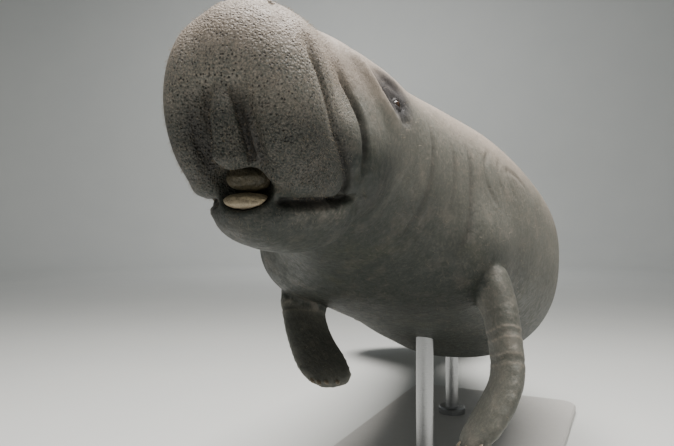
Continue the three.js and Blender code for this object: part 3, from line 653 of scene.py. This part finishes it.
def shapeEye(item, side):  # lids over the eyeball, an almond opening and wrinkles around it
    middle = np.array(eyeMiddles[side])
    points, normals = pointsOf(item), normalsOf(item)
    apart = np.linalg.norm(points - middle, axis=1)
    out = normals[(apart > eyes["ring"][0]) & (apart < eyes["ring"][1])].mean(axis=0)
    out /= np.linalg.norm(out)
    back = toFrame([toBody(middle)[0] + eyes["backward"]])[0] - middle
    back -= out * (back @ out)
    back /= np.linalg.norm(back)
    up = np.cross(back, out) * (1 if side == "left" else -1)
    near = np.nonzero(apart < eyes["reach"])[0]
    away = (points[near] - middle) * 1000
    u, v, high = away @ back, away @ up, away @ out
    flat, radius = np.hypot(u, v), eyes["radius"] * 1000
    halfLength, halfHeight = eyes["opening"]
    halfHeight = halfHeight * np.sqrt(np.clip(1 - 0.5 * (u / 12) ** 2, 0.2, 1))  # pointed at its ends
    inside = np.hypot(u / halfLength, v / halfHeight)  # 1 on the rim of the opening
    lid = np.sqrt(np.clip((radius + eyes["lidThickness"]) ** 2 - flat ** 2, 0, None))
    lid = np.where(flat > radius * eyes["lidEdge"], -30, lid)
    overlap = np.clip(eyes["lidBlend"] - np.abs(high - lid), 0, None) / eyes["lidBlend"]
    raised = np.maximum(high, lid) + overlap ** 2 * eyes["lidBlend"] / 4
    turn = np.arctan2(v, u)
    rays = np.cos(eyes["wrinkles"] * turn + 0.9 * np.sin(3 * turn))
    raised -= eyes["wrinkleDepth"] * np.clip(rays - 0.25, 0, 1) * np.exp(-((inside - 2.4) / 1.1) ** 2)
    for half, (depth, at, width) in ((1, eyes["upperFold"]), (-1, eyes["lowerFold"])):
        raised -= depth * np.exp(-((inside - at) / width) ** 2) * (0.5 + 0.5 * half * np.sign(v))
    sunk = np.sqrt(np.clip(radius ** 2 - flat ** 2, 0, None)) - eyes["sunk"]
    opened = ease(1.12, 0.9, inside)
    raised = raised * (1 - opened) + np.minimum(raised, sunk) * opened
    points[near] += out * ((raised - high) * ease(42, 30, flat))[:, None] / 1000
    setPoints(item, points)


for side in eyeMiddles:
    shapeEye(skin, side)
print("lids shaped")


# What the materials read: where each point lies, and how it is marked

marking = {
    "muzzleMiddle": (0, 92, -34), "muzzleSize": (104, 112, 128),
    "socketShadeMiddle": (134, 288, 46), "socketShadeSize": (56, 58, 44),
    "lip": laidOn([(58, 116, -150), (80, 150, -146), (90, 182, -141)], fleshDistance), "lipWidth": 12,
    "headSpan": 75, "headRise": 0.12, "headEases": (330, 230),  # how the head's height is told, for painted shade low on the face and painted light on top
    "flipperPaintedShade": -0.4, "flippersFrom": 400, "foldDepth": 12,
}


def markSkin(item, places, creaseShadeAndLipLight=0):
    s, z = places[:, 1], places[:, 2]
    above, below = (np.interp(s, sectionPlaces, sectionValues[:, k]) for k in (1, 2))
    height = np.where(z > 0, z / above, z / below)  # -1 under the belly to 1 on the back, for painted shade underneath and painted light on top
    onHead = z / marking["headSpan"] + marking["headRise"]
    height += (onHead - height) * ease(*marking["headEases"], s)
    # the flippers get painted shade, as if they lay low on the body
    onFlipper = ease(4, 14, fleshDistance(places)) * (s > marking["flippersFrom"])
    height += (marking["flipperPaintedShade"] - height) * onFlipper
    fromMuzzle = np.linalg.norm((places - marking["muzzleMiddle"]) / marking["muzzleSize"], axis=1)
    muzzle = ease(1.35, 0.95, fromMuzzle) * (ease(212, 176, s) * (1 - 0.75 * ease(-118, -134, z)))
    folded = foldedOver(places)
    fromSocket = np.linalg.norm((folded - marking["socketShadeMiddle"]) / marking["socketShadeSize"], axis=1)
    fromLip = lineDistance(folded, marking["lip"])[0] / marking["lipWidth"]
    setMark(item, "height", np.clip(height, -1, 1))
    setMark(item, "muzzle", muzzle)
    # the folds' depth, for painted shade in the folds and painted highlight on the ridges
    setMark(item, "valley", np.clip(fleshFolds(places) / marking["foldDepth"], -0.6, 1))
    # painted shade in the hollow round the eye
    setMark(item, "socket", ease(1.3, 0.5, fromSocket))
    setMark(item, "lip", np.exp(-fromLip ** 2))
    # painted shade in the creases, below 0 a painted highlight on raised lips
    setMark(item, "crease", np.zeros(len(places)) + creaseShadeAndLipLight)
    layer = item.data.attributes.new("bodyPlace", "FLOAT_VECTOR", "POINT")
    layer.data.foreach_set("vector", np.ascontiguousarray(places / 1000, np.float32).ravel())


skinPlaces = toBody(pointsOf(skin))
markSkin(skin, skinPlaces, creaseShadeAndLipLight)
finishPiece(skin, "skin", *fleshNodes)


# Eyes, pads and nails

for side, middle in eyeMiddles.items():
    bpy.ops.mesh.primitive_uv_sphere_add(segments=32, ring_count=20, radius=eyes["radius"], location=middle)
    ball = bpy.context.object
    ball.name = "eyeball_" + side
    bpy.ops.object.transform_apply(location=True, rotation=True, scale=True)
    points = pointsOf(ball)
    out = np.array(middle) - toFrame([[0, eyes["station"], 0]])[0]
    out /= np.linalg.norm(out)
    away = points - np.array(middle)
    front = np.clip((away @ out) / eyes["radius"], 0, 1)
    setPoints(ball, points + out * (eyes["cornea"] * ease(0.82, 0.95, front))[:, None])
    setMark(ball, "gaze", np.degrees(np.arccos(np.clip(away @ out / eyes["radius"], -1, 1))))
    finishPiece(ball, "eye", "eye_" + side)

pads = {
    "voxel": 0.0016, "smoothing": 10, "ridge": 0.0005, "rim": (-139, -147),
    "pieces": {"palate_pad": ("palateHorn", "palate"), "jaw_pad": ("jawHorn", "gum")},
}
for node, (title, slotName) in pads["pieces"].items():
    pad = copyNodes([node], title)
    remesh(pad, pads["voxel"])
    smooth(pad, pads["smoothing"])
    places = toBody(pointsOf(pad))
    ridges = np.cos(places[:, 1] * 0.9 + 2.2 * np.sin(places[:, 0] * 0.07)) * np.cos(places[:, 0] * 0.16)
    setPoints(pad, pointsOf(pad) + normalsOf(pad) * (pads["ridge"] * (ridges - 1))[:, None])
    # how low on the pad each point lies, for a painted highlight along its lower rim
    setMark(pad, "rim", ease(*pads["rim"], places[:, 2]))
    finishPiece(pad, slotName, node)

nails = {"voxel": 0.0009, "smoothing": 4}
for name in [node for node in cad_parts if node.startswith("nail_")]:
    plate = copyNodes([name], name.replace("nail", "claw"))
    remesh(plate, nails["voxel"])
    smooth(plate, nails["smoothing"])
    finishPiece(plate, "nail", name)


# Bristles on the muzzle and sparse hairs on the body, each a thin bent spine with its root in the skin

bristles = {"seed": 3, "count": 3400, "length": (0.0025, 0.006), "radius": 0.00016, "lean": 1.0}
bodyHairs = {"seed": 5, "count": 3800, "length": (0.006, 0.012), "radius": 0.00015, "lean": 1.6}
anyHair = {"swing": 0.35, "leans": (0.6, 1.3), "firstLean": 0.75, "lastLean": 1.15, "rootDepth": 0.001,
           "taper": 0.7, "patch": 0.003}


def scatterRoots(item, weights, form):  # random places on a surface, by area and weight
    draw, count = np.random.default_rng(form["seed"]), form["count"]
    item.data.calc_loop_triangles()
    corners = np.empty(len(item.data.loop_triangles) * 3, int)
    item.data.loop_triangles.foreach_get("vertices", corners)
    corners = corners.reshape(-1, 3)
    points, normals = pointsOf(item), normalsOf(item)
    a, b, c = (points[corners[:, k]] for k in range(3))
    area = np.linalg.norm(np.cross(b - a, c - a), axis=1) * weights[corners].mean(axis=1)
    faces = draw.choice(len(corners), size=count, p=area / area.sum())
    u, v = np.sqrt(draw.random(count)), draw.random(count)
    shares = np.stack([1 - u, u * (1 - v), u * v], axis=1)
    roots = np.sum(points[corners[faces]] * shares[:, :, None], axis=1)
    outs = np.sum(normals[corners[faces]] * shares[:, :, None], axis=1)
    return roots, unit(outs), draw


def unwrapPlaces(places):  # an unwrap of the body: round it, and along it
    turn = np.arctan2(places[:, 0], places[:, 2]) / (2 * math.pi)
    return np.stack([0.5 + turn * 0.98, 0.01 + places[:, 1] / 3000], axis=1)


def growHairs(title, roots, outs, draw, form, lie):  # hairs that lean towards their lie
    count = len(roots)
    length = draw.uniform(*form["length"], count)
    side = unit(np.cross(outs, lie))
    along = np.cross(side, outs)
    swing = draw.normal(0, anyHair["swing"], count)
    lean = along * np.cos(swing)[:, None] + side * np.sin(swing)[:, None]
    amount = form["lean"] * draw.uniform(*anyHair["leans"], count)
    firstWay = unit(outs + lean * (anyHair["firstLean"] * amount)[:, None])
    lastWay = unit(outs + lean * (anyHair["lastLean"] * amount)[:, None])
    foot = roots - outs * anyHair["rootDepth"]
    middle = roots + firstWay * (0.5 * length)[:, None]
    tip = middle + lastWay * (0.5 * length)[:, None]
    across = np.cross(firstWay, side)
    points = np.empty((count, 7, 3))
    for corner in range(3):
        turn = 2 * math.pi * corner / 3
        rim = side * math.cos(turn) + across * math.sin(turn)
        points[:, corner] = foot + rim * form["radius"]
        points[:, 3 + corner] = middle + rim * (anyHair["taper"] * form["radius"])
    points[:, 6] = tip
    shape = [(0, 2, 1), (0, 1, 4, 3), (1, 2, 5, 4), (2, 0, 3, 5), (3, 4, 6), (4, 5, 6), (5, 3, 6)]
    faces = [tuple(7 * k + corner for corner in face) for k in range(count) for face in shape]
    mesh = bpy.data.meshes.new(title)
    mesh.from_pydata(points.reshape(-1, 3).tolist(), [], faces)
    hairs = bpy.data.objects.new(title, mesh)
    bpy.context.scene.collection.objects.link(hairs)
    places = toBody(roots)
    markSkin(hairs, np.repeat(places, 7, axis=0))
    setMark(hairs, "tipward", np.tile([0, 0, 0, 0.5, 0.5, 0.5, 1], count))
    spots = unwrapPlaces(places)
    loops = np.empty(len(mesh.loops), int)
    mesh.loops.foreach_get("vertex_index", loops)
    patch = np.array([(0, 0), (1, 0), (0.5, 1), (0.1, 0.4), (0.9, 0.4), (0.5, 0.8), (0.5, 0.5)])
    patch = patch * anyHair["patch"] - anyHair["patch"] / 2  # each hair has its own small patch
    uv = mesh.uv_layers.new(name="OFBake")
    uv.data.foreach_set("uv", (spots[loops // 7] + patch[loops % 7]).astype(np.float32).ravel())
    finishPiece(hairs, "skin")
    return hairs


muzzleShare = np.empty(len(skin.data.vertices), np.float32)
skin.data.attributes["muzzle"].data.foreach_get("value", muzzleShare)
insideMouth = ellipsoidDistance(skinPlaces, *mouth["hollow"]) < 2
roots, outs, draw = scatterRoots(skin, muzzleShare * (1 - insideMouth), bristles)
downward = toFrame(toBody(roots) + (0, 2, -10)) - roots
muzzleBristles = growHairs("muzzleBristles", roots, outs, draw, bristles, downward)

bodyShare = ease(150, 320, skinPlaces[:, 1]) * ease(2850, 2500, skinPlaces[:, 1])
roots, outs, draw = scatterRoots(skin, bodyShare, bodyHairs)
backward = toFrame(toBody(roots) + (0, 10, 0)) - roots
sparseHairs = growHairs("sparseHairs", roots, outs, draw, bodyHairs, backward)


# Materials

def tint(red, green, blue):  # a colour as seen on screen, made linear
    return tuple((v / 255 / 12.92) if v / 255 <= 0.04045 else ((v / 255 + 0.055) / 1.055) ** 2.4
                 for v in (red, green, blue)) + (1,)


class Flow:  # one socket of a material, with plain sums on it
    def __init__(self, board, socket):
        self.board, self.socket = board, socket

    def sum(self, kind, first, second):
        return self.board.make("Math", {"operation": kind}, {0: first, 1: second})

    def __add__(self, other):
        return self.sum("ADD", self, other)

    def __sub__(self, other):
        return self.sum("SUBTRACT", self, other)

    def __rsub__(self, other):
        return self.sum("SUBTRACT", other, self)

    def __mul__(self, other):
        return self.sum("MULTIPLY", self, other)

    __radd__, __rmul__ = __add__, __mul__


class Board:  # one material and its nodes
    def __init__(self, name, **settings):
        self.material = bpy.data.materials.new(name)
        self.material.use_nodes = True
        self.tree = self.material.node_tree
        self.shader = self.tree.nodes["Principled BSDF"]
        for socket, value in settings.items():
            self.shader.inputs[socket.replace("_", " ")].default_value = value
        self.place = self.make("TexCoord", out="Object")

    def make(self, kind, settings=None, inputs=None, out=0):
        node = self.tree.nodes.new("ShaderNode" + kind)
        for key, value in (settings or {}).items():
            setattr(node, key, value)
        for key, value in (inputs or {}).items():
            if isinstance(value, Flow):
                self.tree.links.new(value.socket, node.inputs[key])
            else:
                node.inputs[key].default_value = value
        return Flow(self, node.outputs[out])

    def set(self, socket, value):
        self.tree.links.new(value.socket, self.shader.inputs[socket])

    def mark(self, name, out="Fac"):
        return self.make("Attribute", {"attribute_name": name}, out=out)

    def noise(self, scale, detail=3, at=None, rough=0.55):
        return self.make("TexNoise", {}, {"Vector": at or self.place, "Scale": scale, "Detail": detail,
                                          "Roughness": rough})

    def cells(self, scale, random=1.0):
        return self.make("TexVoronoi", {}, {"Vector": self.place, "Scale": scale, "Randomness": random},
                         "Distance")

    def between(self, value, low, high, first=0.0, last=1.0):
        return self.make("MapRange", {"interpolation_type": "SMOOTHSTEP"},
                         {"Value": value, "From Min": low, "From Max": high, "To Min": first, "To Max": last})

    def blend(self, share, first, second):
        return self.make("Mix", {"data_type": "RGBA", "clamp_factor": True},
                         {0: share, 6: first, 7: second}, 2)

    def lay(self, colour, *layers):  # tones of the skin laid over a colour one by one
        for share, tone in layers:
            colour = self.blend(share, colour, skinTones[tone])
        return colour

    def bump(self, height):
        self.set("Normal", self.make("Bump", {}, {"Height": height, "Distance": 1.0, "Strength": 1.0}))


# The belly tone is painted shade underneath and the back tone is painted light on top; the darkest tones are
# painted shade in creases, pits and round the eye
skinTones = {
    "belly": tint(32, 40, 35), "side": tint(112, 112, 104), "back": tint(160, 148, 136),
    "pale": tint(188, 172, 156), "dark": tint(54, 51, 50), "algae": tint(68, 70, 48), "recessShade": tint(22, 19, 19),
    "crease": tint(34, 29, 30), "socket": tint(40, 42, 49), "lip": tint(138, 130, 118),
}


def skinColour(board):  # the same colouring for skin and hair, with painted light on top and painted shade underneath
    broad, middling, fine = board.noise(5.5), board.noise(26, 4), board.noise(190, 3)
    level = board.mark("height") + (broad - 0.5) * 0.45 + (middling - 0.5) * 0.2
    paintedLight = board.between(level, -0.8, 0.2, 0.3, 1.0)  # painted shade: pale marks fade underneath
    colour = board.lay(
        # painted shade underneath to painted light on top, by each point's height
        skinTones["belly"],
        (board.between(level, -0.9, 0.0), "side"),
        (board.between(level, 0.1, 0.75), "back"),
        (board.between(middling, 0.5, 0.75) * 0.22 * paintedLight, "pale"),
        (board.between(board.noise(13, 5), 0.5, 0.75) * 0.2, "dark"),
        (board.between(board.noise(7.5, 6, rough=0.7), 0.52, 0.75) * 0.35, "algae"),
        (board.between(fine, 0.45, 0.7) * 0.2 * paintedLight, "pale"),
        (board.mark("lip") * board.between(fine + middling, 0.8, 1.3, 0.1, 0.6), "lip"),
        # painted shade round the eye
        (board.mark("socket") * 0.85, "socket"))
    return colour, paintedLight


skinRelief = {  # cells to a metre and how random they are, then heights in metres
    "pits": (225, 0.85), "granules": (290, 0.9),
    "folds": 0.00035, "fineGrain": 0.0006, "broadGrain": 0.0016, "pitDepth": 0.0012, "gapDepth": 0.0006,
}


def makeSkin():
    board = Board("manatee skin", Roughness=0.6)
    muzzle, crease, valley = board.mark("muzzle"), board.mark("crease"), board.mark("valley")
    pits, granules = board.cells(*skinRelief["pits"]), board.cells(*skinRelief["granules"])
    deep = board.between(board.noise(60, 3), 0.35, 0.65, 0.4, 1.0)
    grains = board.between(board.noise(420, 4, rough=0.65), 0.42, 0.62)
    colour, paintedLight = skinColour(board)
    board.set("Base Color", board.lay(
        colour,
        (board.between(granules, 0.42, 0.68) * (muzzle * 0.26 + 0.05), "recessShade"),  # painted shade in the gaps between the granules
        (grains * (muzzle * 0.42 + 0.08) * paintedLight, "pale"),
        # painted shade in the pits the bump presses in
        (board.between(pits, 0.34, 0.18) * (muzzle * 0.78 + 0.1) * deep, "recessShade"),
        # painted shade in the folds and painted highlight on the ridges between them
        (board.between(valley, 0.1, 1.0) * 0.5, "crease"),
        (board.between(valley, -0.1, -0.6) * 0.35, "pale"),
        # painted shade in the creases
        (crease * 0.6, "crease"),
        (board.between(crease, -0.05, -0.4) * 0.3, "pale")))  # painted highlight on a raised lip
    body = board.mark("bodyPlace", "Vector")
    around = board.make("Mapping", {}, {"Vector": body, "Scale": (0.6, 1.5, 0.6)})
    folds = board.between(board.noise(70, 4, around, 0.6), 0.35, 0.6) * skinRelief["folds"]
    grain = board.noise(560, 3) * skinRelief["fineGrain"] + board.noise(90, 5) * skinRelief["broadGrain"]
    dimple = board.between(pits, 0.1, 0.4) * skinRelief["pitDepth"]
    dimple = (dimple + board.between(granules, 0.6, 0.2) * skinRelief["gapDepth"]) * muzzle
    board.bump(folds * (1.1 - muzzle) + grain + dimple)
    board.set("Roughness", board.between(board.noise(80, 3), 0.3, 0.7, 0.5, 0.68))
    return board.material


def makeHair():
    board = Board("manatee hair", Roughness=0.45)
    colour = skinColour(board)[0]
    board.set("Base Color", board.blend(board.mark("tipward") * 0.5 + 0.35, colour, tint(196, 176, 146)))
    return board.material


def makeEye():
    board = Board("eye", Roughness=0.08, Coat_Weight=1.0, Coat_Roughness=0.03)
    gaze = board.mark("gaze")
    streaks = board.noise(900, 3)
    iris = board.blend(streaks, tint(46, 30, 20), tint(84, 60, 42))
    colour = board.blend(board.between(gaze, 24, 27), tint(6, 5, 5), iris)
    colour = board.blend(board.between(gaze + streaks * 6, 46, 56), colour, tint(58, 48, 42))
    board.set("Base Color", colour)
    return board.material


def makePad(name, low, high):
    board = Board(name, Roughness=0.55)
    colour = board.blend(board.between(board.noise(60, 5, rough=0.65), 0.3, 0.7), low, high)
    colour = board.blend(board.between(board.cells(420), 0.5, 0.2) * 0.35, colour, tint(52, 44, 34))
    # painted highlight: the lower rim made paler
    board.set("Base Color", board.blend(board.mark("rim") * 0.45, colour, tint(206, 190, 164)))
    board.bump(board.noise(260, 4) * 0.0014 + board.cells(420) * 0.0006)
    return board.material


def makeNail():
    board = Board("nail", Roughness=0.35)
    board.set("Base Color", board.blend(board.noise(220, 4), tint(112, 102, 88), tint(146, 134, 116)))
    board.bump(board.noise(500, 2) * 0.0004)
    return board.material


def makePaint():
    board = Board("stand paint", Roughness=0.5)
    board.set("Base Color", board.blend(board.noise(3, 5), tint(186, 184, 180), tint(198, 196, 192)))
    board.set("Roughness", board.between(board.noise(40, 3), 0.3, 0.7, 0.42, 0.55))
    board.bump(board.noise(900, 2) * 0.00006)
    return board.material


def makeSteel():
    board = Board("brushed steel", Metallic=1.0)
    along = board.make("Mapping", {}, {"Vector": board.place, "Scale": (60, 60, 1400)})
    lines = board.noise(1, 4, along)
    board.set("Base Color", board.blend(lines, tint(150, 151, 152), tint(186, 187, 188)))
    board.set("Roughness", board.between(lines, 0.3, 0.7, 0.26, 0.4))
    return board.material


finishes = {"skin": makeSkin(), "hair": makeHair(), "eye": makeEye(), "nail": makeNail(),
            "palate": makePad("palate horn", tint(54, 51, 39), tint(92, 84, 64)),
            "gum": makePad("jaw horn", tint(122, 111, 89), tint(168, 153, 124)),
            "stand_paint": makePaint(), "stand_steel": makeSteel()}


def paint(item, finish):
    item.data.materials.clear()
    item.data.materials.append(finishes[finish])


for item in [item for item in bpy.context.scene.objects if item.type == "MESH" and item.get("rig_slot")]:
    paint(item, item["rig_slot"])
for item in (muzzleBristles, sparseHairs):
    paint(item, "hair")
for name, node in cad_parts.items():
    if name.startswith("stand_"):
        selectOnly(node)
        bpy.ops.object.shade_smooth_by_angle(angle=math.radians(35))
        for slot in node.material_slots:
            slot.material = finishes["stand_paint" if name == "stand_base" else "stand_steel"]
print("materials made")


# Floor, backdrop and soft studio light

studio = {
    "middle": (0, 1, 0), "floorRadius": 7.5, "sweep": 0.4, "sweepSteps": 8, "rise": 4.5,
    "worldColour": (0.82, 0.86, 0.88, 1), "worldStrength": 0.2,
    "lights": {  # place, aim, size, power and colour
        "overheadLight": ((0.5, -0.6, 3.4), (0.1, -0.6, 0.6), 2.2, 275, (1, 0.97, 0.93)),
        "backdropLight": ((-2.4, 5.4, 4.6), (-3.6, 9, 1.6), 2.5, 160, (1, 1, 1)),
        "fillLight": ((3.4, -3.2, 1.6), (0.2, -0.6, 0.6), 2.4, 4, (0.93, 0.97, 1)),
    },
}
bpy.ops.mesh.primitive_circle_add(vertices=96, radius=studio["floorRadius"], fill_type="NGON",
                                  location=studio["middle"])
floor = bpy.context.object
floor.name = "floor"
bpy.ops.object.mode_set(mode="EDIT")
for step in range(studio["sweepSteps"]):  # the floor sweeps up into the backdrop
    angle = math.radians(90 * (step + 0.5) / studio["sweepSteps"])
    rise = studio["sweep"] * math.sin(angle)
    bpy.ops.mesh.extrude_region_move(TRANSFORM_OT_translate={"value": (0, 0, rise)})
    grow = 1 + studio["sweep"] * math.cos(angle) / studio["floorRadius"]
    bpy.ops.transform.resize(value=(grow, grow, 1), center_override=studio["middle"])
bpy.ops.mesh.extrude_region_move(TRANSFORM_OT_translate={"value": (0, 0, studio["rise"])})
bpy.ops.mesh.delete(type="FACE")
bpy.ops.object.mode_set(mode="OBJECT")
bpy.ops.object.shade_smooth()
bpy.ops.object.transform_apply(location=True, rotation=True, scale=True)

floorBoard = Board("pale floor", Roughness=0.85)
floorBoard.set("Base Color", floorBoard.blend(
    floorBoard.noise(1.5, 3), tint(206, 208, 206), tint(214, 215, 212)))
floor.data.materials.append(floorBoard.material)

for name, (place, aim, size, power, colour) in studio["lights"].items():
    bpy.ops.object.light_add(type="AREA", location=place)
    lamp = bpy.context.object
    lamp.name = name
    lamp.data.size, lamp.data.energy, lamp.data.color = size, power, colour
    lamp.rotation_euler = (Vector(aim) - Vector(place)).to_track_quat("-Z", "Y").to_euler()
world = bpy.data.worlds.new("studio")
bpy.context.scene.world = world
world.use_nodes = True
worldLight = world.node_tree.nodes["Background"]
worldLight.inputs["Color"].default_value = studio["worldColour"]
worldLight.inputs["Strength"].default_value = studio["worldStrength"]
